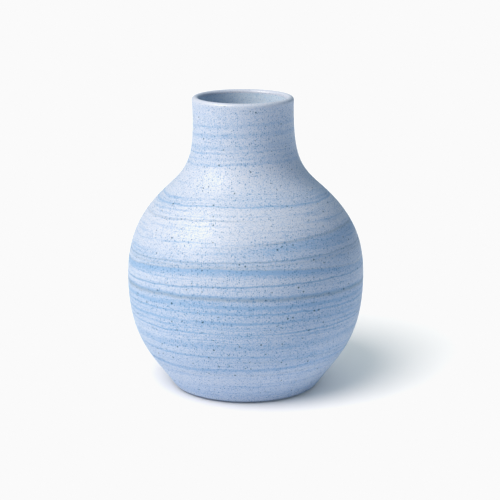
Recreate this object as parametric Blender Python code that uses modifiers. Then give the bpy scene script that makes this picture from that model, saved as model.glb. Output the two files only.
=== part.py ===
"""Ceramic bud vase: a wheel-thrown stoneware body and the clear glaze that lines it.

Units are metres and +Z is up. The origin is the centre of the base, at the height of the surface
that the vase stands on. Both pieces are turned shapes: a closed profile in the XZ plane, screwed
round the Z axis. Every profile starts on the axis, climbs the inside and comes down the outside.
"""

import math

import bpy
from mathutils import Vector
from mathutils.geometry import interpolate_bezier

OBJECT_NAME = "bud_vase"
TURN_STEPS = 60

# The foot: a flat ring to stand on, with a recess within it. The rounded heel outside it clears
# the table by a little.
FOOT_OUTER_RADIUS, FOOT_INNER_RADIUS = 0.0340, 0.0275
HEEL_RADIUS = 0.0363
HEEL_ROUND = 0.0020
HEEL_CLEARANCE = 0.0008
HEEL_STEPS = 4
RECESS_HEIGHT = 0.0014
RECESS_SLOPE = 0.0010

# Stations of the outer wall above the heel: radius and height.
BELLY_RADIUS, BELLY_HEIGHT = 0.0604, 0.0585
SHOULDER_RADIUS, SHOULDER_HEIGHT = 0.0389, 0.1043
WAIST_RADIUS, WAIST_HEIGHT = 0.0255, 0.1410

# How far the wall leans from upright at a station: outward as it climbs is positive.
HEEL_LEAN = math.radians(34.5)
SHOULDER_LEAN = math.radians(-48.0)
LIP_LEAN = math.radians(5.5)

# How far each station pulls the curve, below it and above it.
HEEL_PULL = 0.0192
BELLY_PULL_BELOW, BELLY_PULL_ABOVE = 0.0326, 0.0206
SHOULDER_PULL_BELOW, SHOULDER_PULL_ABOVE = 0.0189, 0.0145
WAIST_PULL_BELOW, WAIST_PULL_ABOVE = 0.0204, 0.0028
LIP_PULL = 0.0030

# The lip is a half-round bead on top of the neck.
VASE_HEIGHT = 0.150
LIP_HALF_THICKNESS = 0.0018
LIP_CENTRE_RADIUS = 0.02395
LIP_STEPS = 6

# The wall thickens from the lip down to the heel.
LIP_WALL = 2 * LIP_HALF_THICKNESS
HEEL_WALL = 0.0056

# Inside, the wall sweeps into the floor from this height down.
FLOOR_SWEEP_HEIGHT = 0.024
FLOOR_HEIGHT = 0.0065
FLOOR_SWEEP_PULL = 0.017
FLOOR_CENTRE_PULL = 0.022

# The glaze coat, and the gap that keeps it a solid of its own.
GLAZE_GAP = 0.0003
GLAZE_THICKNESS = 0.0005
GLAZE_TOP = 0.1425

CLAY_COLOR = (0.47, 0.59, 0.80, 1.0)
GLAZE_COLOR = (0.40, 0.52, 0.74, 1.0)


def clear_scene():
    for obj in list(bpy.data.objects):
        bpy.data.objects.remove(obj, do_unlink=True)


def direction(lean):
    """The unit vector, as (radius, height), of a wall that leans this far from upright."""
    return Vector((math.sin(lean), math.cos(lean)))


def sweep(start, start_pull, end_pull, end, steps):
    """A Bezier curve between two (radius, height) points, each with the vector that pulls on it."""
    return interpolate_bezier(start, start + start_pull, end + end_pull, end, steps + 1)


def heel_point(lean):
    """The point of the rounded heel where its surface leans this far from upright."""
    centre = Vector((HEEL_RADIUS, HEEL_CLEARANCE + HEEL_ROUND))
    return centre + Vector((math.cos(lean), -math.sin(lean))) * HEEL_ROUND


def outer_wall():
    """The outer wall from the heel up to the springing of the lip."""
    heel = heel_point(HEEL_LEAN)
    belly = Vector((BELLY_RADIUS, BELLY_HEIGHT))
    shoulder = Vector((SHOULDER_RADIUS, SHOULDER_HEIGHT))
    waist = Vector((WAIST_RADIUS, WAIST_HEIGHT))
    lip = Vector((LIP_CENTRE_RADIUS + LIP_HALF_THICKNESS, VASE_HEIGHT - LIP_HALF_THICKNESS))
    upright = direction(0)
    slope = direction(SHOULDER_LEAN)
    spans = (
        sweep(heel, direction(HEEL_LEAN) * HEEL_PULL, -upright * BELLY_PULL_BELOW, belly, 8),
        sweep(belly, upright * BELLY_PULL_ABOVE, -slope * SHOULDER_PULL_BELOW, shoulder, 6),
        sweep(shoulder, slope * SHOULDER_PULL_ABOVE, -upright * WAIST_PULL_BELOW, waist, 5),
        sweep(waist, upright * WAIST_PULL_ABOVE, -direction(LIP_LEAN) * LIP_PULL, lip, 1),
    )
    points = [heel]
    for span in spans:
        points += span[1:]
    return points


def wall_at(height):
    """The wall's thickness at this height."""
    share = min(max(height / VASE_HEIGHT, 0.0), 1.0)
    return HEEL_WALL + (LIP_WALL - HEEL_WALL) * math.sqrt(share)


def inset(points, distance_at):
    """The line moved towards the axis, square to itself, by distance_at(height) at each point."""
    moved = []
    last = len(points) - 1
    for index, point in enumerate(points):
        along = (points[min(index + 1, last)] - points[max(index - 1, 0)]).normalized()
        moved.append(point + Vector((-along.y, along.x)) * distance_at(point.y))
    return moved


def inner_wall():
    """The inner wall from the centre of the floor up to the springing of the lip."""
    wall = [point for point in inset(outer_wall(), wall_at) if point.y > FLOOR_SWEEP_HEIGHT]
    climb = (wall[1] - wall[0]).normalized()
    centre = Vector((0, FLOOR_HEIGHT))
    out_pull = Vector((FLOOR_CENTRE_PULL, 0))
    floor = sweep(centre, out_pull, -climb * FLOOR_SWEEP_PULL, wall[0], 6)
    lip_inside = Vector((LIP_CENTRE_RADIUS - LIP_HALF_THICKNESS, VASE_HEIGHT - LIP_HALF_THICKNESS))
    return floor[:-1] + wall[:-1] + [lip_inside]


def lip_bead():
    """The crest of the lip, from inside to outside, without its two springing points."""
    centre = Vector((LIP_CENTRE_RADIUS, VASE_HEIGHT - LIP_HALF_THICKNESS))
    turns = (math.pi * (1 - step / LIP_STEPS) for step in range(1, LIP_STEPS))
    return [centre + Vector((math.cos(turn), math.sin(turn))) * LIP_HALF_THICKNESS for turn in turns]


def foot():
    """The underside, from the rounded heel in to the centre of the recess."""
    flat = math.pi / 2
    leans = (HEEL_LEAN + (flat - HEEL_LEAN) * step / HEEL_STEPS for step in range(1, HEEL_STEPS + 1))
    return [heel_point(lean) for lean in leans] + [
        Vector((FOOT_OUTER_RADIUS, HEEL_CLEARANCE)),
        Vector((FOOT_OUTER_RADIUS, 0)),
        Vector((FOOT_INNER_RADIUS, 0)),
        Vector((FOOT_INNER_RADIUS - RECESS_SLOPE, RECESS_HEIGHT)),
        Vector((0, RECESS_HEIGHT)),
    ]


def cut_at(points, height):
    """The climbing line up to this height, with a point of its own there."""
    below = [point for point in points if point.y < height]
    above = points[len(below)]
    share = (height - below[-1].y) / (above.y - below[-1].y)
    return below + [below[-1].lerp(above, share)]


def liner_profile():
    """The glaze: its inner face up from the axis, its top edge, then its outer face back down."""
    wall = inner_wall()
    full = GLAZE_GAP + GLAZE_THICKNESS
    outer_face = cut_at(inset(wall, lambda height: GLAZE_GAP), GLAZE_TOP)
    inner_face = cut_at(inset(wall, lambda height: full), GLAZE_TOP)
    for face in (outer_face, inner_face):
        face[0].x = 0
    return inner_face + outer_face[::-1]


def material(name, color, roughness):
    made = bpy.data.materials.new(name)
    made.use_nodes = True
    shader = made.node_tree.nodes["Principled BSDF"]
    shader.inputs["Base Color"].default_value = color
    shader.inputs["Roughness"].default_value = roughness
    shader.inputs["Metallic"].default_value = 0.0
    made.diffuse_color = color
    return made


def turned(name, profile, finish, collection):
    """An object turned from a (radius, height) profile that starts and ends on the axis."""
    mesh = bpy.data.meshes.new(name)
    corners = [(point.x, 0, point.y) for point in profile]
    edges = [(index, index + 1) for index in range(len(corners) - 1)]
    mesh.from_pydata(corners, edges, [])
    mesh.materials.append(finish)
    obj = bpy.data.objects.new(name, mesh)
    collection.objects.link(obj)
    screw = obj.modifiers.new("Turn", "SCREW")
    screw.axis = "Z"
    screw.steps = TURN_STEPS
    screw.render_steps = TURN_STEPS
    screw.use_merge_vertices = True
    screw.merge_threshold = 0.00001
    screw.use_smooth_shade = True
    return obj


def build_vase_body(collection):
    profile = inner_wall() + lip_bead() + outer_wall()[::-1] + foot()
    return turned("vase_body", profile, material("marbled_clay", CLAY_COLOR, 0.55), collection)


def build_liner_glaze(collection):
    finish = material("clear_liner_glaze", GLAZE_COLOR, 0.25)
    return turned("liner_glaze", liner_profile(), finish, collection)


def main():
    clear_scene()
    collection = bpy.data.collections.new(OBJECT_NAME)
    bpy.context.scene.collection.children.link(collection)
    build_vase_body(collection)
    build_liner_glaze(collection)


main()
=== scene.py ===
"""Ceramic bud vase, finished: the marbled clay body, the glaze that lines it and a pale studio.

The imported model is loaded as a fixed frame. Both of its nodes are turned again here at full
fineness, with the marks that a potter's fingers leave, and are given their clay and glaze.
Units are metres, +Z is up, and the vase stands on the origin.
"""

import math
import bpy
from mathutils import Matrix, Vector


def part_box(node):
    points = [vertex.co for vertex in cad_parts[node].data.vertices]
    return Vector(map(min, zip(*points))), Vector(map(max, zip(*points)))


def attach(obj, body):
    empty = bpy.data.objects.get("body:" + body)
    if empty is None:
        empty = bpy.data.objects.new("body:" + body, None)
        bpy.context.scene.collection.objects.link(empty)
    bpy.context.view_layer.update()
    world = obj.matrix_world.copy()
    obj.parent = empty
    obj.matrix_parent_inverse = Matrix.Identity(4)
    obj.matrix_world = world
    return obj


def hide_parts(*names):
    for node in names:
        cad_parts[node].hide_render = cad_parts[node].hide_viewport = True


bl_info = {
    "name": "Ceramic Bud Vase",
    "version": (1, 0, 0),
    "blender": (4, 5, 0),
    "location": "3D View > Sidebar > Bud Vase",
    "description": "Throws, marbles and glazes a stoneware bud vase and sets it on a pale floor",
    "category": "Object",
}

import bmesh
import bpy
from bpy.props import FloatProperty, FloatVectorProperty, IntProperty, PointerProperty
from mathutils import Vector, noise
from mathutils.geometry import interpolate_bezier

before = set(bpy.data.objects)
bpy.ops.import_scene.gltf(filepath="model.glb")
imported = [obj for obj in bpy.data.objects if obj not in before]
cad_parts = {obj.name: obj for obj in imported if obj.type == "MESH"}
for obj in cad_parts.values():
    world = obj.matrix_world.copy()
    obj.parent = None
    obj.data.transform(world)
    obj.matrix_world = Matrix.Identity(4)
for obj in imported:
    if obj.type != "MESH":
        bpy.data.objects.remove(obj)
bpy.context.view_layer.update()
BODY_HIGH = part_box("vase_body")[1]
LINER_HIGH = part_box("liner_glaze")[1]

HEIGHT = BODY_HIGH.z
UPRIGHT = Vector((0, 1))
TOUCHING = 1e-6  # points closer than this are one point


# ---------------------------------------------------------------- what a user would change


def length(name, description, default):
    return FloatProperty(name=name, description=description, default=default, unit="LENGTH", precision=4)


def turn(name, description, degrees):
    default = math.radians(degrees)
    return FloatProperty(name=name, description=description, default=default, subtype="ANGLE")


def number(name, description, default):
    return FloatProperty(name=name, description=description, default=default, precision=3)


def color(name, description, default):
    return FloatVectorProperty(
        name=name, description=description, default=default, subtype="COLOR", size=3, min=0, max=1
    )


class VaseShape(bpy.types.PropertyGroup):
    """The turned outline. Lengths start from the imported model's own height and width."""

    foot_radius: length("Foot radius", "Outer radius of the ring it stands on", 0.2267 * HEIGHT)
    foot_inner_radius: length("Foot inner radius", "Where the recess starts", 0.183 * HEIGHT)
    recess_depth: length("Recess depth", "How far the base is hollowed", 0.0014)
    heel_radius: length("Heel radius", "Where the rounded heel starts", 0.242 * HEIGHT)
    heel_round: length("Heel round", "Radius of the rounded heel", 0.0020)
    heel_clearance: length("Heel clearance", "How far the heel clears the table", 0.0011)
    heel_lean: turn("Heel lean", "How far the wall leans out above the heel", 34.5)
    belly_radius: length("Belly radius", "Greatest radius", BODY_HIGH.x)
    belly_height: length("Belly height", "Height of the greatest radius", 0.39 * HEIGHT)
    shoulder_radius: length("Shoulder radius", "Radius where the shoulder turns hollow", 0.2591 * HEIGHT)
    shoulder_height: length("Shoulder height", "Height where it turns hollow", 0.6953 * HEIGHT)
    shoulder_lean: turn("Shoulder lean", "How far the wall leans in there", 48.1)
    waist_radius: length("Waist radius", "Narrowest radius of the neck", 0.17 * HEIGHT)
    waist_height: length("Waist height", "Height of the narrowest place", 0.94 * HEIGHT)
    lip_radius: length("Lip radius", "Radius of the middle of the lip", 0.1597 * HEIGHT)
    lip_thickness: length("Lip thickness", "Thickness of the rounded lip", 0.0036)
    lip_flare: turn("Lip flare", "How far the lip leans out", 5.5)
    heel_wall: length("Heel wall", "Thickness of the wall at the heel", 0.0056)
    floor_height: length("Floor height", "Inside floor above the table", 0.0065)
    neck_lean: length("Neck lean", "How far the lip sits off the axis", 0.0015)


class VaseMarks(bpy.types.PropertyGroup):
    """What the potter's hands and tools leave behind."""

    turning_depth: length("Turning depth", "Depth of the rings outside", 0.00007)
    turning_pitch: length("Turning pitch", "Distance between the rings outside", 0.0021)
    throwing_depth: length("Throwing depth", "Depth of the finger spiral inside", 0.00035)
    throwing_pitch: length("Throwing pitch", "Distance between its turns", 0.0065)
    wander: length("Wander", "How far the wall strays from true", 0.00012)
    steps: IntProperty(name="Steps", description="Facets round the vase", default=240, min=24)


class VaseClay(bpy.types.PropertyGroup):
    """The colours wedged into the clay, and its finish."""

    pale_clay: color("Pale clay", "The clay that most of the wall is made of", (0.60, 0.64, 0.775))
    blue_clay: color("Blue clay", "The blue grains and streaks", (0.24, 0.40, 0.66))
    liner_tint: color("Liner tint", "The milky blue of the glaze inside", (0.60, 0.80, 1.0))
    grey_clay: color("Grey clay", "The grey streaks", (0.25, 0.32, 0.43))
    blue_fleck: color("Fleck", "The small blue flecks", (0.09, 0.23, 0.46))
    iron_speck: color("Speck", "The dark specks", (0.015, 0.085, 0.17))
    foot_clay: color("Bare foot", "The bare clay of the foot", (0.50, 0.57, 0.70))


class VaseStudio(bpy.types.PropertyGroup):
    """Camera and light."""

    camera_back: length("Camera back", "Distance from the vase", 5.612 * HEIGHT)
    camera_height: length("Camera height", "Height of the lens", 1.874 * HEIGHT)
    camera_aside: length("Camera aside", "Lens to the right of the axis", 0.0145 * HEIGHT)
    camera_pitch: turn("Camera pitch", "How far the camera looks down", 14.05)
    lens: number("Lens", "Focal length in millimetres on a 36 mm wide sensor", 121.8)
    vase_strength: number("Vase lamps", "Strength of all the lamps on the vase", 3.5)
    floor_strength: number("Floor lamps", "Strength of all the lamps on the floor", 1.0)
    room_strength: number("Room light", "Strength of the dim light from all round", 1.0)
    paper_white: number("Paper white", "The brightest tone that is let through", 0.956)


# ---------------------------------------------------------------- the outline

# How far each station pulls the outer wall's curve, below it and above it, as shares of the height.
HEEL_PULL = 0.128
BELLY_PULL_BELOW, BELLY_PULL_ABOVE = 0.2173, 0.1375
SHOULDER_PULL_BELOW, SHOULDER_PULL_ABOVE = 0.1258, 0.0964
WAIST_PULL_BELOW, WAIST_PULL_ABOVE = 0.1358, 0.0187
LIP_PULL = 0.02

# Inside, the wall sweeps into the floor from this height down. All are shares of the height.
FLOOR_SWEEP_HEIGHT = 0.16
FLOOR_CENTRE_PULL, FLOOR_SWEEP_PULL = 0.147, 0.113

# Steps along each stretch of the outline. The inner wall keeps every third point of the outer
# one. The clay and its glaze both use that wall, because they would cross if it differed.
BELLY_STEPS, SHOULDER_STEPS, WAIST_STEPS, LIP_SPRINGING_STEPS = 96, 76, 60, 10
INNER_STRIDE = 3
FLOOR_STEPS = 30
LIP_STEPS = 14
HEEL_STEPS = 10
COVE_STEPS = 5

# Under the foot: where the flat ring is split across its width and the recess across its radius,
# and how far the ring's inner edge and the recess pull on the cove between them.
RING_SPLITS = (0.35, 0.7)
RECESS_SPLIT = 0.6
COVE_RING_PULL, COVE_RECESS_PULL = 0.0005, 0.0006


def direction(lean):
    """The unit vector, as (radius, height), of a wall that leans out this far from upright."""
    return Vector((math.sin(lean), math.cos(lean)))


def heel_point(shape, lean):
    """The point of the rounded heel where its surface leans out this far from upright."""
    centre = Vector((shape.heel_radius, shape.heel_clearance + shape.heel_round))
    return centre + Vector((math.cos(lean), -math.sin(lean))) * shape.heel_round


def sweep(start, start_pull, end_pull, end, steps):
    """A Bezier curve between two (radius, height) points, each with the vector that pulls on it."""
    return interpolate_bezier(start, start + start_pull, end + end_pull, end, steps + 1)


def outer_wall(shape):
    """The outer wall as (radius, height) points, from the heel up to the springing of the lip."""
    half_lip = shape.lip_thickness / 2
    heel = heel_point(shape, shape.heel_lean)
    belly = Vector((shape.belly_radius, shape.belly_height))
    shoulder = Vector((shape.shoulder_radius, shape.shoulder_height))
    waist = Vector((shape.waist_radius, shape.waist_height))
    lip = Vector((shape.lip_radius + half_lip, HEIGHT - half_lip))
    slope = direction(-shape.shoulder_lean)
    rise = direction(shape.heel_lean)
    flare = direction(shape.lip_flare)
    stretches = (
        (heel, rise * HEEL_PULL, -UPRIGHT * BELLY_PULL_BELOW, belly, BELLY_STEPS),
        (belly, UPRIGHT * BELLY_PULL_ABOVE, -slope * SHOULDER_PULL_BELOW, shoulder, SHOULDER_STEPS),
        (shoulder, slope * SHOULDER_PULL_ABOVE, -UPRIGHT * WAIST_PULL_BELOW, waist, WAIST_STEPS),
        (waist, UPRIGHT * WAIST_PULL_ABOVE, -flare * LIP_PULL, lip, LIP_SPRINGING_STEPS),
    )
    points = [heel]
    for start, start_pull, end_pull, end, steps in stretches:
        points += sweep(start, start_pull * HEIGHT, end_pull * HEIGHT, end, steps)[1:]
    return points


def wall_at(shape, height):
    """The wall's thickness at this height: it thins from the heel up to the lip."""
    share = min(max(height / HEIGHT, 0.0), 1.0)
    return shape.heel_wall + (shape.lip_thickness - shape.heel_wall) * math.sqrt(share)


def inset(points, distance_at):
    """The line moved towards the axis, square to itself, by distance_at(height) at each point."""
    moved = []
    last = len(points) - 1
    for index, point in enumerate(points):
        along = (points[min(index + 1, last)] - points[max(index - 1, 0)]).normalized()
        moved.append(point + Vector((-along.y, along.x)) * distance_at(point.y))
    moved[0].x = max(moved[0].x, 0)
    return moved


def inner_wall(shape):
    """The inner wall from the centre of the floor up to the springing of the lip."""
    wall = inset(outer_wall(shape), lambda height: wall_at(shape, height))
    wall = [point for point in wall if point.y > FLOOR_SWEEP_HEIGHT * HEIGHT]
    climb = (wall[1] - wall[0]).normalized()
    centre = Vector((0, shape.floor_height))
    centre_pull = Vector((FLOOR_CENTRE_PULL * HEIGHT, 0))
    floor = sweep(centre, centre_pull, -climb * FLOOR_SWEEP_PULL * HEIGHT, wall[0], FLOOR_STEPS)
    half_lip = shape.lip_thickness / 2
    inside = Vector((shape.lip_radius - half_lip, HEIGHT - half_lip))
    return floor[:-1] + wall[:-1:INNER_STRIDE] + [inside]


def lip_bead(shape):
    """The crest of the lip, from inside to outside, without its two springing points."""
    half_lip = shape.lip_thickness / 2
    centre = Vector((shape.lip_radius, HEIGHT - half_lip))
    turns = (math.pi * (1 - step / LIP_STEPS) for step in range(1, LIP_STEPS))
    return [centre + Vector((math.cos(angle), math.sin(angle))) * half_lip for angle in turns]


def foot_outline(shape):
    """The underside from the rounded heel in to the centre of the recess."""
    lean = shape.heel_lean
    rest = math.pi / 2 - lean
    heel = [heel_point(shape, lean + rest * step / HEEL_STEPS) for step in range(1, HEEL_STEPS + 1)]
    drop = [Vector((shape.foot_radius, level)) for level in (shape.heel_clearance, 0)]
    width = shape.foot_inner_radius - shape.foot_radius
    ring = [Vector((shape.foot_radius + width * split, 0)) for split in RING_SPLITS]
    edge = Vector((shape.foot_inner_radius, 0))
    inner = Vector((shape.foot_inner_radius - shape.recess_depth, shape.recess_depth))
    cove = sweep(edge, Vector((-COVE_RING_PULL, 0)), Vector((COVE_RECESS_PULL, 0)), inner, COVE_STEPS)
    recess = [Vector((RECESS_SPLIT * inner.x, inner.y)), Vector((0, inner.y))]
    return heel + drop + ring + cove + recess


def cut_at(points, height):
    """The climbing line up to this height, with a point of its own there."""
    below = [point for point in points if point.y < height]
    above = points[len(below)]
    share = (height - below[-1].y) / (above.y - below[-1].y)
    return below + [below[-1].lerp(above, share)]


# ---------------------------------------------------------------- the potter's wheel

# The skins of a turned piece, and the finishes that the body's faces take, by their slot.
INSIDE, OUTSIDE, UNDERSIDE = range(3)
CLAY_SLOT, FOOT_SLOT, GLAZE_SLOT = range(3)

# The neck starts to settle at this share of the height, and more steeply the higher it is.
SETTLE_START = 0.5
SETTLE_POWER = 1.15

# How fast each mark changes from place to place, in changes to the metre: the patches where the
# rings are deep or faint, how they waver, and how the wall strays; then the finger spiral's.
RING_PATCHES, RING_WAVER, WALL_STRAY = 35, 60, 22
SPIRAL_PATCHES, SPIRAL_WAVER = 25, 40
STRAY_SHIFT = Vector((4.0, 1.0, 7.0))


def turned_bmesh(skins, steps):
    """A closed bmesh turned from (skin, points) runs that start and end on the axis."""
    bm = bmesh.new()
    tag = bm.verts.layers.int.new("skin")
    verts = []
    for skin, points in skins:
        for point in points:
            verts.append(bm.verts.new((point.x, 0, point.y)))
            verts[-1][tag] = skin
    edges = [bm.edges.new(pair) for pair in zip(verts, verts[1:])]
    bmesh.ops.spin(
        bm,
        geom=verts + edges,
        cent=(0, 0, 0),
        axis=(0, 0, 1),
        angle=2 * math.pi,
        steps=steps,
        use_merge=True,
    )
    bmesh.ops.remove_doubles(bm, verts=bm.verts, dist=TOUCHING)
    bmesh.ops.recalc_face_normals(bm, faces=bm.faces)
    return bm


def smooth_step(low, high, value):
    """0 at low and 1 at high, with a smooth climb between them. Low may be the larger."""
    share = min(max((value - low) / (high - low), 0.0), 1.0)
    return share * share * (3 - 2 * share)


def neck_offset(shape, height):
    """How far the neck has settled to one side at this height."""
    start = SETTLE_START * HEIGHT
    share = max(height - start, 0.0) / (HEIGHT - start)
    return -shape.neck_lean * share**SETTLE_POWER


def outside_marks(marks, place):
    """How far the turning rings and the wall's stray push out a place on the outside."""
    angle = math.atan2(place.y, place.x)
    patch = 0.5 + 0.5 * noise.noise(place * RING_PATCHES)
    waver = 3 * noise.noise(place * RING_WAVER)
    ring = math.sin(2 * math.pi * place.z / marks.turning_pitch + angle + waver)
    stray = noise.noise(place * WALL_STRAY + STRAY_SHIFT)
    free = smooth_step(0.0, 0.03 * HEIGHT, place.z) * smooth_step(HEIGHT, 0.975 * HEIGHT, place.z)
    return free * (marks.turning_depth * patch * ring + marks.wander * stray)


def inside_marks(marks, place):
    """How far the finger spiral pushes out a place on the inside."""
    angle = math.atan2(place.y, place.x)
    waver = noise.noise(place * SPIRAL_WAVER)
    ring = math.sin(2 * math.pi * place.z / marks.throwing_pitch + angle + waver)
    free = smooth_step(0.0, 0.08 * HEIGHT, place.xy.length) * smooth_step(HEIGHT, 0.88 * HEIGHT, place.z)
    patch = 0.6 + 0.4 * noise.noise(place * SPIRAL_PATCHES)
    return free * marks.throwing_depth * patch * ring


def shape_by_hand(bm, shape, marks):
    """Presses the marks into the wall, then lets the neck settle to one side."""
    tag = bm.verts.layers.int["skin"]
    for vert in bm.verts:
        level = vert.co.xy.length
        outward = vert.co.xy.to_3d() / level if level > TOUCHING else Vector((0, 0, 0))
        if vert[tag] == OUTSIDE:
            vert.co += outward * outside_marks(marks, vert.co)
        elif vert[tag] == INSIDE:
            vert.co += outward * inside_marks(marks, vert.co)
        vert.co.x += neck_offset(shape, vert.co.z)


def finish_piece(bm, name, finishes):
    """The bmesh as an object at the origin, shaded smooth."""
    for face in bm.faces:
        face.smooth = True
    mesh = bpy.data.meshes.new(name)
    bm.to_mesh(mesh)
    bm.free()
    for finish in finishes:
        mesh.materials.append(finish)
    piece = bpy.data.objects.new(name, mesh)
    bpy.context.scene.collection.objects.link(piece)
    return piece


# ---------------------------------------------------------------- node helpers


class Finish:
    """A material and short ways to wire its nodes."""

    def __init__(self, name):
        self.material = bpy.data.materials.new(name)
        self.material.use_nodes = True
        self.tree = self.material.node_tree
        self.shader = self.tree.nodes["Principled BSDF"]

    def node(self, kind, inputs=(), **settings):
        """A new node. An input is a value, or the socket that feeds it."""
        made = self.tree.nodes.new(kind)
        for name, value in settings.items():
            setattr(made, name, value)
        for key, value in dict(inputs).items():
            self.feed(made.inputs[key], value)
        return made

    def feed(self, socket, value):
        if isinstance(value, bpy.types.NodeSocket):
            self.tree.links.new(value, socket)
        else:
            socket.default_value = value

    def math(self, operation, first, second=0.0, third=0.0, clamp=False):
        inputs = {0: first, 1: second, 2: third}
        made = self.node("ShaderNodeMath", inputs, operation=operation, use_clamp=clamp)
        return made.outputs[0]

    def vector(self, operation, first, second=(0.0, 0.0, 0.0)):
        made = self.node("ShaderNodeVectorMath", {0: first, 1: second}, operation=operation)
        return made.outputs["Value" if operation == "DOT_PRODUCT" else "Vector"]

    def noise(self, vector, scale, detail=2.0, roughness=0.5):
        inputs = {"Vector": vector, "Scale": scale, "Detail": detail, "Roughness": roughness}
        return self.node("ShaderNodeTexNoise", inputs).outputs[0]

    def spread(self, value, low, high, to_low=0.0, to_high=1.0):
        """The value mapped from one range to another, with a smooth step and held at the ends."""
        inputs = {0: value, 1: low, 2: high, 3: to_low, 4: to_high}
        made = self.node("ShaderNodeMapRange", inputs, interpolation_type="SMOOTHSTEP")
        return made.outputs[0]

    def mix(self, share, first, second):
        inputs = {0: share, 6: with_alpha(first), 7: with_alpha(second)}
        return self.node("ShaderNodeMix", inputs, data_type="RGBA").outputs[2]

    def profile(self, factor, stops):
        """A value that follows listed (place, value) stops, both from 0 to 1."""
        ramp = self.node("ShaderNodeValToRGB", {0: factor})
        elements = ramp.color_ramp.elements
        while len(elements) > 1:
            elements.remove(elements[-1])
        elements[0].position = stops[0][0]
        elements[0].color = (stops[0][1],) * 3 + (1,)
        for place, value in stops[1:]:
            elements.new(place).color = (value, value, value, 1)
        return ramp.outputs[0]


def with_alpha(value):
    return value if isinstance(value, bpy.types.NodeSocket) else (*value[:3], 1.0)


# ---------------------------------------------------------------- marbled clay

# The clay is laid in sheets that each tilt in their own way. A sheet is how far it rises to the
# right, how far it arches up at the front and back, which side it is on (-1 left, 1 right, 0 all
# round), then its blue and its grey streaks. A streak is its height up the front, how far it
# fades above that and below it, and its strength. All lengths are in millimetres.
SHEETS = (
    (1.2, 1.3, 0, ((139.5, 1.2, 1.2, 0.3), (135.0, 1.0, 2.0, 0.35), (128.6, 2.0, 1.2, 0.3)), ()),
    (1.2, 1.3, 0, ((126.0, 0.5, 0.5, 0.5), (123.0, 0.8, 0.8, 0.3), (120.4, 1.0, 0.8, 0.6)), ()),
    (0.4, 1.8, 0, ((105.0, 0.5, 0.5, 0.35), (103.3, 0.5, 0.5, 0.3), (102.0, 0.6, 0.6, 0.75)), ()),
    (0.9, 1.5, -1, (), ((96.0, 0.5, 0.5, 0.6),)),
    (3.9, 1.3, 1, ((83.0, 4.0, 4.5, 0.45),), ((85.4, 0.6, 0.7, 0.9),)),
    (2.1, 1.3, 0, ((78.0, 0.5, 0.9, 0.4),), ((78.1, 0.4, 0.8, 0.9), (76.2, 0.8, 1.0, 0.5))),
    (-0.3, 5.2, 0, ((74.6, 0.3, 4.2, 0.8),), ((75.1, 0.3, 0.4, 0.7),)),
    (2.2, 2.7, 0, ((66.8, 0.4, 0.6, 1.1),), ((67.0, 0.4, 0.4, 0.6),)),
    (0.2, 2.4, 0, ((61.6, 1.0, 1.6, 0.6), (56.6, 1.4, 1.2, 0.65)), ((60.5, 1.5, 1.4, 1.0),)),
    (0.5, 2.2, 0, ((53.3, 0.4, 0.6, 0.9), (49.0, 0.6, 1.2, 0.7), (46.2, 0.6, 0.6, 0.4)), ()),
    (0.9, 0.9, 0, ((42.8, 0.4, 0.6, 1.0), (40.9, 0.6, 1.0, 0.3), (36.0, 2.6, 3.0, 0.35)), ()),
    (0.5, 2.0, 0, ((30.2, 0.7, 0.9, 0.6),), ()),
    (0.7, 1.0, 1, (), ((27.3, 0.6, 0.6, 0.6), (25.6, 0.5, 0.5, 0.4))),
    (2.2, 0.0, 0, ((22.6, 0.8, 1.6, 0.95), (11.2, 0.8, 0.8, 0.3)), ((19.3, 0.6, 0.6, 0.4),)),
)

# How blue the clay is between the streaks: (height in millimetres, share).
WASH = (
    (0.0, 0.15),
    (8.0, 0.18),
    (15.0, 0.02),
    (20.0, 0.10),
    (27.0, 0.25),
    (40.0, 0.15),
    (47.0, 0.28),
    (58.0, 0.40),
    (63.0, 0.18),
    (69.0, 0.12),
    (74.0, 0.26),
    (82.0, 0.15),
    (93.0, 0.03),
    (98.0, 0.04),
    (106.0, 0.10),
    (117.0, 0.08),
    (123.0, 0.12),
    (150.0, 0.10),
)


# The sheet that the wash and the drawn-out threads lie in: its rise to the right and its arch.
WASH_SHEET = (0.8, 2.0)

# The clay's grain and the lines drawn out along it, in changes to the metre: across, across, up.
GRAIN_SCALE = 2000
THREAD_STRETCH = (20, 20, 900)
TURNING_LINES = (12, 12, 1500)

# The layers of round marks. Each is its cells to the metre, the share of the cells that hold one,
# and then, as shares of a cell, its largest radius and how much that grows where it is streaked.
SPECKS = (390, 0.50, 0.21, 0.09)
FLECKS = (1050, 0.85, 0.44, 0.22)

# How far each colour can cover the clay under it.
TINT_COVER, GRAIN_COVER, GREY_COVER = 0.80, 0.95, 0.65
# The crest's cover on the next line paints the lip paler: partly burnished clay, partly a painted
# highlight.
FLECK_COVER, SPECK_COVER, CREST_RUB_AND_HIGHLIGHT_COVER = 0.82, 0.95, 0.60


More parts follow.
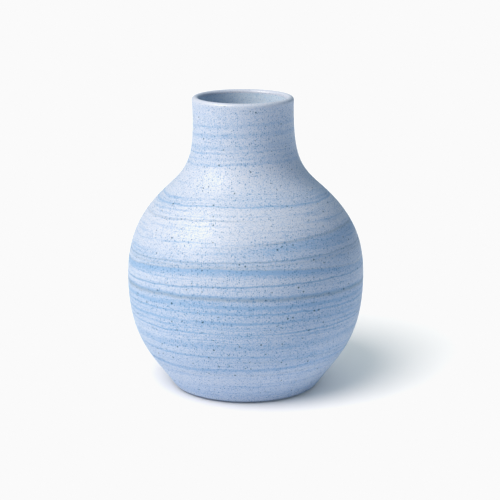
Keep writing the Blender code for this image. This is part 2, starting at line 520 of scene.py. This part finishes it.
class ClayPattern:
    """The sockets that the clay and the glaze over it both read."""

    def __init__(self, finish):
        self.finish = finish
        self.place = finish.node("ShaderNodeTexCoord").outputs["Object"]
        parts = finish.node("ShaderNodeSeparateXYZ", {0: self.place}).outputs
        flat = finish.node("ShaderNodeCombineXYZ", {0: parts[0], 1: parts[1]}).outputs[0]
        facing = finish.vector("NORMALIZE", flat)
        self.height = parts[2]
        self.right = finish.node("ShaderNodeSeparateXYZ", {0: facing}).outputs[0]
        self.arch = finish.math("MULTIPLY", self.right, self.right)
        self.level = self.wavering_level()
        across = (parts[0], parts[1], self.tilted(*WASH_SHEET))
        stretched = {
            index: finish.math("MULTIPLY", part, stretch)
            for index, (part, stretch) in enumerate(zip(across, THREAD_STRETCH))
        }
        self.drawn_out = finish.node("ShaderNodeCombineXYZ", stretched).outputs[0]
        self.grain = finish.noise(self.place, GRAIN_SCALE, 2.0, 0.65)
        self.blue, self.grey = self.streak_amounts()
        self.specks = self.speck_layer(*SPECKS)
        self.flecks = self.speck_layer(*FLECKS)

    def wavering_level(self):
        """The height, moved up and down a little so that no streak runs true."""
        finish = self.finish
        slow = finish.math("SUBTRACT", finish.noise(self.place, 16, 1.0), 0.5)
        quick = finish.math("SUBTRACT", finish.noise(self.place, 110, 2.0), 0.5)
        level = finish.math("MULTIPLY_ADD", slow, 0.0022, self.height)
        return finish.math("MULTIPLY_ADD", quick, 0.0014, level)

    def tilted(self, rise, arch):
        """The level measured square to a sheet that rises to the right and arches, in metres."""
        finish = self.finish
        level = finish.math("MULTIPLY_ADD", self.right, -rise / 1000, self.level)
        return finish.math("MULTIPLY_ADD", self.arch, arch / 1000, level)

    def streaks(self, level, bands):
        """The strength of a few streaks across one sheet."""
        stops = []
        for middle, above, below, strength in sorted(bands):
            stops += [(middle - below, 0.0), (middle, strength), (middle + above, 0.0)]
        stops = [(height / 1000 / HEIGHT, value) for height, value in stops]
        return self.finish.profile(level, stops)

    def streak_amounts(self):
        """How blue and how grey the clay is, from 0 to 1."""
        finish = self.finish
        sides = {
            0: 1.0,
            -1: finish.spread(self.right, 0.35, -0.25),
            1: finish.spread(self.right, -0.45, 0.45),
        }
        sums = [0.0, 0.0]
        for rise, arch, side, *pair in SHEETS:
            level = finish.math("DIVIDE", self.tilted(rise, arch), HEIGHT)
            for index, bands in enumerate(pair):
                if bands:
                    amount = self.streaks(level, bands)
                    sums[index] = finish.math("MULTIPLY_ADD", amount, sides[side], sums[index])
        patches = finish.vector("MULTIPLY", self.place, (18, 18, 60))
        strength = finish.spread(finish.noise(patches, 1.0, 2.0), 0.32, 0.60, 0.55, 1.15)
        wash_level = finish.math("DIVIDE", self.tilted(*WASH_SHEET), HEIGHT)
        wash = finish.profile(wash_level, [(height / 1000 / HEIGHT, share) for height, share in WASH])
        threads = finish.spread(finish.noise(self.drawn_out, 1.0, 3.0, 0.6), 0.50, 0.72, 0.0, 0.48)
        soft_neck = finish.spread(self.height, 0.60 * HEIGHT, 0.80 * HEIGHT, 1.0, 0.25)
        blue = finish.math("MULTIPLY_ADD", sums[0], strength, wash)
        blue = finish.math("MULTIPLY_ADD", threads, soft_neck, blue)
        return blue, finish.math("MULTIPLY", sums[1], strength, clamp=True)

    def speck_layer(self, scale, share, largest, crowding):
        """Round specks in a share of the cells, of mixed size, and larger where it is streaked."""
        finish = self.finish
        cells = finish.node("ShaderNodeTexVoronoi", {"Vector": self.place, "Scale": scale})
        pick = finish.node("ShaderNodeSeparateColor", {0: cells.outputs["Color"]}).outputs[0]
        crowd = finish.math("ADD", self.blue, self.grey, clamp=True)
        size = finish.node("ShaderNodeMapRange", {0: pick, 1: 1 - share, 2: 1.0}).outputs[0]
        radius = finish.math("MULTIPLY", size, finish.math("MULTIPLY_ADD", crowd, crowding, largest))
        radius = finish.math("MAXIMUM", radius, 0.001)
        inner = finish.math("MULTIPLY", radius, 0.6)
        return finish.spread(cells.outputs["Distance"], radius, inner)


def clay_color(finish, pattern, clay):
    """Pale clay tinted by the blue streaks, grained with blue, then grey streaks and specks."""
    sparse = finish.math("MULTIPLY_ADD", pattern.blue, -0.16, 0.57)
    grains = finish.node(
        "ShaderNodeMapRange",
        {
            0: pattern.grain,
            1: finish.math("SUBTRACT", sparse, 0.05),
            2: finish.math("ADD", sparse, 0.07),
            3: 0.0,
            4: GRAIN_COVER,
        },
    ).outputs[0]
    tint = finish.math("MINIMUM", finish.math("MULTIPLY", pattern.blue, TINT_COVER), TINT_COVER)
    tone = finish.mix(tint, clay.pale_clay, clay.blue_clay)
    tone = finish.mix(grains, tone, clay.blue_clay)
    tone = finish.mix(finish.math("MULTIPLY", pattern.grey, GREY_COVER), tone, clay.grey_clay)
    tone = finish.mix(finish.math("MULTIPLY", pattern.flecks, FLECK_COVER), tone, clay.blue_fleck)
    return finish.mix(finish.math("MULTIPLY", pattern.specks, SPECK_COVER), tone, clay.iron_speck)


def surface_relief(finish, pattern, distance, strength):
    """Fine turning lines, grain and a shallow pit at each speck, as a bumped normal."""
    lines = finish.noise(finish.vector("MULTIPLY", pattern.place, TURNING_LINES), 1.0, 2.0)
    relief = finish.math("MULTIPLY_ADD", pattern.grain, 0.6, lines)
    relief = finish.math("MULTIPLY_ADD", pattern.specks, -0.5, relief)
    inputs = {"Strength": strength, "Distance": distance, "Height": relief}
    return finish.node("ShaderNodeBump", inputs).outputs[0]


def marbled_clay(clay):
    """Satin marbled stoneware, smoother on the crest of the lip where it is rubbed, and paler there:
    partly burnished clay, partly a painted highlight.
    """
    finish = Finish("marbled_clay")
    pattern = ClayPattern(finish)
    # The crest of the lip: this mask smooths the finish there, and its paler colour is partly a painted
    # highlight.
    rubbed_and_highlit_crest = finish.spread(pattern.height, 0.978 * HEIGHT, 0.996 * HEIGHT)
    tone = clay_color(finish, pattern, clay)
    # Painted highlight, partly burnish: the crest of the lip is mixed towards the pale clay.
    tone = finish.mix(finish.math("MULTIPLY", rubbed_and_highlit_crest, CREST_RUB_AND_HIGHLIGHT_COVER), tone, clay.pale_clay)
    satin = finish.spread(pattern.grain, 0.3, 0.7, 0.44, 0.56)
    satin = finish.math("MULTIPLY_ADD", pattern.grey, 0.06, satin)
    satin = finish.math("MULTIPLY_ADD", rubbed_and_highlit_crest, -0.12, satin)
    finish.feed(finish.shader.inputs["Base Color"], tone)
    finish.feed(finish.shader.inputs["Roughness"], satin)
    finish.feed(finish.shader.inputs["Normal"], surface_relief(finish, pattern, 0.00004, 0.35))
    finish.shader.inputs["IOR"].default_value = 1.5
    return finish.material


def bare_foot_clay(clay):
    """The ring and recess under the vase: dry, open clay with no burnish."""
    finish = Finish("bare_foot_clay")
    pattern = ClayPattern(finish)
    tone = finish.mix(0.45, clay_color(finish, pattern, clay), clay.foot_clay)
    dry = finish.spread(pattern.grain, 0.3, 0.7, 0.78, 0.92)
    finish.feed(finish.shader.inputs["Base Color"], tone)
    finish.feed(finish.shader.inputs["Roughness"], dry)
    finish.feed(finish.shader.inputs["Normal"], surface_relief(finish, pattern, 0.00008, 0.6))
    return finish.material


def liner_glaze(clay):
    """Thin milky glaze over the same clay: glossier, and deeper in colour where it pools.

    The body's inner skin and the glaze coat share it, so it is made once.
    """
    made = bpy.data.materials.get("poured_glaze")
    if made:
        return made
    finish = Finish("poured_glaze")
    pattern = ClayPattern(finish)
    pooled = finish.spread(pattern.height, FLOOR_SWEEP_HEIGHT * HEIGHT, 0.05 * HEIGHT)
    tone = finish.mix(0.42, clay_color(finish, pattern, clay), clay.liner_tint)
    tone = finish.mix(finish.math("MULTIPLY", pooled, 0.30), tone, clay.blue_clay)
    sheen = finish.spread(finish.noise(pattern.place, 220, 2.0), 0.3, 0.7, 0.18, 0.30)
    waves = finish.noise(pattern.place, 160, 2.0)
    inputs = {"Strength": 0.25, "Distance": 0.00015, "Height": waves}
    finish.feed(finish.shader.inputs["Base Color"], tone)
    finish.feed(finish.shader.inputs["Roughness"], sheen)
    finish.feed(finish.shader.inputs["Normal"], finish.node("ShaderNodeBump", inputs).outputs[0])
    return finish.material


# ---------------------------------------------------------------- the pieces

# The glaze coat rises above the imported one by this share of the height. It lies off the inner
# wall by the gap. Its face is off that wall by the edge's depth at the top, and by the full
# depth more further down. The topmost band of it is a narrow one, so that its edge shades crisply.
GLAZE_RISE = 0.025
GLAZE_GAP = 0.00005
GLAZE_EDGE_DEPTH, GLAZE_FULL_DEPTH = 0.00008, 0.0006
GLAZE_EDGE_BAND = 0.00004


def throw_body(shape, marks, clay):
    """The whole fired clay body: inside, lip, outside, heel and foot in one closed wall."""
    skins = (
        (INSIDE, inner_wall(shape)),
        (OUTSIDE, lip_bead(shape) + outer_wall(shape)[::-1]),
        (UNDERSIDE, foot_outline(shape)),
    )
    bm = turned_bmesh(skins, marks.steps)
    shape_by_hand(bm, shape, marks)
    tag = bm.verts.layers.int["skin"]
    for face in bm.faces:
        skins_here = {vert[tag] for vert in face.verts}
        low = max(vert.co.z for vert in face.verts) < shape.heel_clearance / 2
        recessed = face.calc_center_median().xy.length < shape.foot_inner_radius
        if skins_here == {INSIDE}:
            face.material_index = GLAZE_SLOT
        elif skins_here == {UNDERSIDE} and (low or recessed):
            face.material_index = FOOT_SLOT
        else:
            face.material_index = CLAY_SLOT
    finishes = (marbled_clay(clay), bare_foot_clay(clay), liner_glaze(clay))
    return finish_piece(bm, "thrown_body", finishes)


def pour_liner(shape, marks, clay):
    """The glaze coat: a thin shell against the inner wall, at its thinnest along its top edge."""
    top = LINER_HIGH.z + GLAZE_RISE * HEIGHT
    wall = inner_wall(shape)
    against = cut_at(inset(wall, lambda height: GLAZE_GAP), top)

    def depth(height):
        return GLAZE_EDGE_DEPTH + GLAZE_FULL_DEPTH * smooth_step(top, 0.85 * top, height)

    edge = top - GLAZE_EDGE_BAND
    face = cut_at(inset(wall, depth), top)
    face = cut_at(face, edge) + face[-1:]
    against = cut_at(against, edge) + against[-1:]
    for line in (against, face):
        line[0].x = 0
    bm = turned_bmesh(((INSIDE, face + against[::-1]),), marks.steps)
    shape_by_hand(bm, shape, marks)
    return finish_piece(bm, "liner_glaze_coat", (liner_glaze(clay),))


# ---------------------------------------------------------------- the studio

# Each lamp: what it lights, the way round to it from the front in degrees to the right, how high
# it stands in degrees, how broad it looks in degrees, its share of that group's strength and its
# colour.
LAMPS = (
    ("vase", -62, 46, 34, 1.12, (1.0, 0.92, 0.79)),
    ("vase", 180, 22, 80, 0.11, (0.70, 0.95, 1.0)),
    ("vase", 80, 76, 50, 0.15, (0.6, 0.85, 1.0)),
    ("floor", -40, 52, 38, 0.82, (1.0, 0.90, 0.85)),
    ("floor", 0, 90, 150, 0.595, (0.92, 1.0, 1.0)),
)
LIT = {"vase": ("thrown_body", "liner_glaze_coat"), "floor": ("pale_floor",)}

# The room's own light, and the white that is seen beyond the floor.
ROOM_TINT = (0.45, 0.70, 1.0, 1)
ROOM_STRENGTH = 0.08
BEYOND_TINT = (1, 1, 1, 1)

# The floor as it throws light back on the vase, and as it is seen.
FLOOR_THROWS, FLOOR_LOOKS = (0.80, 0.87, 0.91), (0.90, 0.90, 0.90)
FLOOR_RADIUS = 20 * HEIGHT
FLOOR_SIDES = 96

SENSOR_WIDTH = 36
COMBINED_CURVE = 3  # a tone curve's fourth line, which acts on red, green and blue alike


def pale_floor():
    """A wide matt floor. It is paler to look at than the light that it throws back."""
    bm = bmesh.new()
    bmesh.ops.create_circle(bm, cap_ends=True, segments=FLOOR_SIDES, radius=FLOOR_RADIUS)
    finish = Finish("pale_floor")
    rays = finish.node("ShaderNodeLightPath").outputs["Is Camera Ray"]
    finish.feed(finish.shader.inputs["Base Color"], finish.mix(rays, FLOOR_THROWS, FLOOR_LOOKS))
    finish.shader.inputs["Roughness"].default_value = 1.0
    finish.shader.inputs["Specular IOR Level"].default_value = 0.0
    floor = finish_piece(bm, "pale_floor", (finish.material,))


def lit_group(what):
    """The pieces that a lamp lights, as a collection."""
    group = bpy.data.collections.new("lit_" + what)
    for name in LIT[what]:
        group.objects.link(bpy.data.objects[name])
    return group


def hang_lamp(group, round_front, high, broad, strength, tint):
    """A far, soft lamp that lights only the group."""
    data = bpy.data.lights.new("soft_lamp", "SUN")
    data.energy = strength
    data.angle = math.radians(broad)
    data.color = tint
    lamp = bpy.data.objects.new("soft_lamp", data)
    side, rise = math.radians(round_front), math.radians(high)
    toward = Vector((math.sin(side) * math.cos(rise), -math.cos(side) * math.cos(rise), math.sin(rise)))
    lamp.rotation_euler = toward.to_track_quat("Z", "Y").to_euler()
    bpy.context.scene.collection.objects.link(lamp)
    lamp.light_linking.receiver_collection = group


def studio_light(studio):
    """Soft lamps on the vase, others on the floor, and a dim cool room."""
    groups = {what: lit_group(what) for what in LIT}
    base = {"vase": studio.vase_strength, "floor": studio.floor_strength * math.pi}
    for what, round_front, high, broad, share, tint in LAMPS:
        hang_lamp(groups[what], round_front, high, broad, share * base[what], tint)
    world = bpy.data.worlds.new("studio")
    world.use_nodes = True
    tree = world.node_tree
    room = tree.nodes["Background"]
    room.inputs["Color"].default_value = ROOM_TINT
    room.inputs["Strength"].default_value = ROOM_STRENGTH * studio.room_strength
    seen = tree.nodes.new("ShaderNodeBackground")
    seen.inputs["Color"].default_value = BEYOND_TINT
    choose = tree.nodes.new("ShaderNodeMixShader")
    rays = tree.nodes.new("ShaderNodeLightPath")
    tree.links.new(rays.outputs["Is Camera Ray"], choose.inputs[0])
    tree.links.new(room.outputs[0], choose.inputs[1])
    tree.links.new(seen.outputs[0], choose.inputs[2])
    tree.links.new(choose.outputs[0], tree.nodes["World Output"].inputs[0])
    bpy.context.scene.world = world


def print_tones(studio):
    """True colours up to paper white, where the curve goes flat."""
    view = bpy.context.scene.view_settings
    view.view_transform = "Standard"
    view.use_curve_mapping = True
    curves = view.curve_mapping
    curves.extend = "HORIZONTAL"
    white = studio.paper_white
    curves.curves[COMBINED_CURVE].points[-1].location = (white, white)
    curves.update()


def studio_camera(studio):
    """A long lens in front of the vase, looking down on it a little."""
    data = bpy.data.cameras.new("camera")
    data.lens = studio.lens
    data.sensor_width = SENSOR_WIDTH
    camera = bpy.data.objects.new("camera", data)
    camera.location = (studio.camera_aside, -studio.camera_back, studio.camera_height)
    camera.rotation_euler = (math.pi / 2 - studio.camera_pitch, 0, 0)
    bpy.context.scene.collection.objects.link(camera)
    bpy.context.scene.camera = camera


# ---------------------------------------------------------------- operators and panel


class BUDVASE_OT_throw_body(bpy.types.Operator):
    """Turn the clay body, press the potter's marks into it and give it its marbled clay"""

    bl_idname = "budvase.throw_body"
    bl_label = "Throw the Body"

    def execute(self, context):
        scene = context.scene
        body = throw_body(scene.vase_shape, scene.vase_marks, scene.vase_clay)
        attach(body, "root")
        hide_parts("vase_body")
        return {"FINISHED"}


class BUDVASE_OT_pour_liner(bpy.types.Operator):
    """Line the inside with glaze"""

    bl_idname = "budvase.pour_liner"
    bl_label = "Pour the Liner Glaze"

    def execute(self, context):
        scene = context.scene
        liner = pour_liner(scene.vase_shape, scene.vase_marks, scene.vase_clay)
        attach(liner, "root")
        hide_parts("liner_glaze")
        return {"FINISHED"}


class BUDVASE_OT_set_stage(bpy.types.Operator):
    """Lay the pale floor, light it softly and place the camera"""

    bl_idname = "budvase.set_stage"
    bl_label = "Set the Stage"

    def execute(self, context):
        pale_floor()
        studio_light(context.scene.vase_studio)
        studio_camera(context.scene.vase_studio)
        print_tones(context.scene.vase_studio)
        return {"FINISHED"}


class BUDVASE_PT_maker(bpy.types.Panel):
    """Lists the steps that make the vase, and the sizes and colours they use"""

    bl_idname = "BUDVASE_PT_maker"
    bl_label = "Ceramic Bud Vase"
    bl_space_type = "VIEW_3D"
    bl_region_type = "UI"
    bl_category = "Bud Vase"

    def draw(self, context):
        layout = self.layout
        for step in STEPS:
            layout.operator(step.bl_idname)
        for name, group in GROUPS:
            box = layout.box()
            box.label(text=name.replace("_", " ").capitalize())
            for key in group.__annotations__:
                box.prop(getattr(context.scene, name), key)


STEPS = (BUDVASE_OT_throw_body, BUDVASE_OT_pour_liner, BUDVASE_OT_set_stage)
GROUPS = (
    ("vase_shape", VaseShape),
    ("vase_marks", VaseMarks),
    ("vase_clay", VaseClay),
    ("vase_studio", VaseStudio),
)


def register():
    for name, group in GROUPS:
        bpy.utils.register_class(group)
        setattr(bpy.types.Scene, name, PointerProperty(type=group))
    for step in STEPS:
        bpy.utils.register_class(step)
    bpy.utils.register_class(BUDVASE_PT_maker)


def unregister():
    bpy.utils.unregister_class(BUDVASE_PT_maker)
    for step in reversed(STEPS):
        bpy.utils.unregister_class(step)
    for name, group in reversed(GROUPS):
        delattr(bpy.types.Scene, name)
        bpy.utils.unregister_class(group)


def main():
    register()
    bpy.ops.budvase.throw_body()
    bpy.ops.budvase.pour_liner()
    bpy.ops.budvase.set_stage()


if __name__ == "__main__":
    main()
